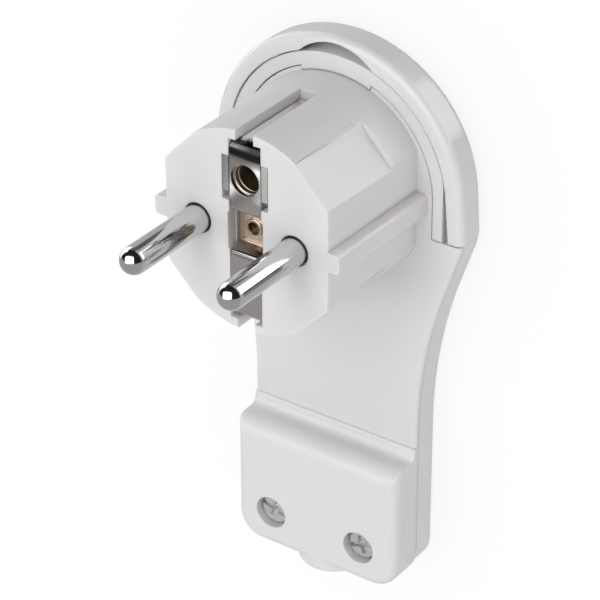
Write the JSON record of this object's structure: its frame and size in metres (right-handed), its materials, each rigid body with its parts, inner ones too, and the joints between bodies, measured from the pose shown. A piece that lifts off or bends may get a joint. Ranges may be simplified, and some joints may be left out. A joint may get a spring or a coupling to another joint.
{
  "type": "plug adapter",
  "caption": "Flat angled mains plug with round contact pins, a slotted earth face, a screwed cable cover and a swing-out pull ring.",
  "frame": {"origin": "on the flat back face, under the midpoint between the contact pins", "axes": "+X across the plug, +Y from the cable outlet to the top of the pull ring, +Z the way the pins point"},
  "size_m": [0.0504, 0.1026, 0.051],
  "materials": {
    "housing": "glossy white moulding",
    "ring": "glossy white moulding",
    "carrier": "matt grey moulding",
    "pin": "bright nickel plate",
    "strap": "satin nickel plate",
    "sleeve": "satin, nickel over brass",
    "brass": "bare brass",
    "screw": "zinc plate"
  },
  "bodies": {
    "plug_body": {"front_housing": "housing", "back_shell": "housing", "clamp_cover": "housing", "contact_carrier": "carrier", "clamp_bar": "carrier", "pin_left": "pin", "pin_right": "pin", "earth_strap": "strap", "earth_socket": "sleeve", "earth_eyelet": "brass", "earth_terminal": "brass", "earth_screw": "screw", "terminal_screw_left": "screw", "terminal_screw_right": "screw", "carrier_screw_left": "screw", "carrier_screw_right": "screw", "clamp_screw_left": "screw", "clamp_screw_right": "screw", "cover_screw_left": "screw", "cover_screw_right": "screw"},
    "pull_handle": {"pull_ring": "ring"}
  },
  "joints": [
    {"name": "ring_hinge", "type": "hinge", "parent": "plug_body", "child": "pull_handle", "pos_m": [0, -0.0031, 0.0032], "axis": [-1, 0, 0], "range_deg": [0, 90]}
  ]
}
